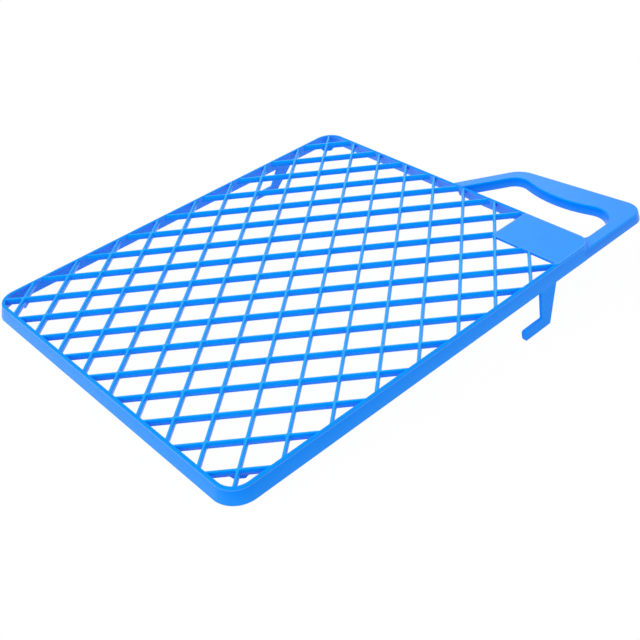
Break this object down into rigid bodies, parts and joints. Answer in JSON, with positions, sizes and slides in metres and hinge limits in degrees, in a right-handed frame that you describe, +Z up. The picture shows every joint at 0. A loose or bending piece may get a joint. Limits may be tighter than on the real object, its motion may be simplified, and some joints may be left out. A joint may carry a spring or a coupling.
{
  "type": "paint roller grid",
  "caption": "Flat rectangular plastic grid with a diamond lattice in a flared rim, a corner plate, a D-shaped side handle and hooks below its long walls.",
  "frame": {"origin": "middle of the rim's top plane, on the top of the lattice's central crossing", "axes": "+X towards the end with the handle, +Y towards the back long wall, away from the corner with the plate and the handle, +Z up out of the grid's top face"},
  "size_m": [0.3633, 0.2688, 0.0318],
  "materials": {
    "grid_plastic": "semi-gloss blue polypropylene with a fine moulded grain",
    "handle_plastic": "semi-gloss blue polypropylene, the same moulding"
  },
  "bodies": {
    "root": {"rim_side_front": "grid_plastic", "rim_side_back": "grid_plastic", "rim_end_far": "grid_plastic", "rim_end_handle": "grid_plastic", "rim_corner_far_front": "grid_plastic", "rim_corner_far_back": "grid_plastic", "rim_corner_handle_front": "grid_plastic", "rim_corner_handle_back": "grid_plastic", "grid_lattice": "grid_plastic", "corner_plate": "grid_plastic", "corner_fin_far_front": "grid_plastic", "corner_fin_far_back": "grid_plastic", "corner_fin_handle_front": "grid_plastic", "corner_fin_handle_back": "grid_plastic", "gate_stub": "grid_plastic", "handle_arm_front": "handle_plastic", "handle_arm_slanted": "handle_plastic", "handle_grip": "handle_plastic", "hook_front": "grid_plastic", "hook_back": "grid_plastic"}
  },
  "joints": []
}
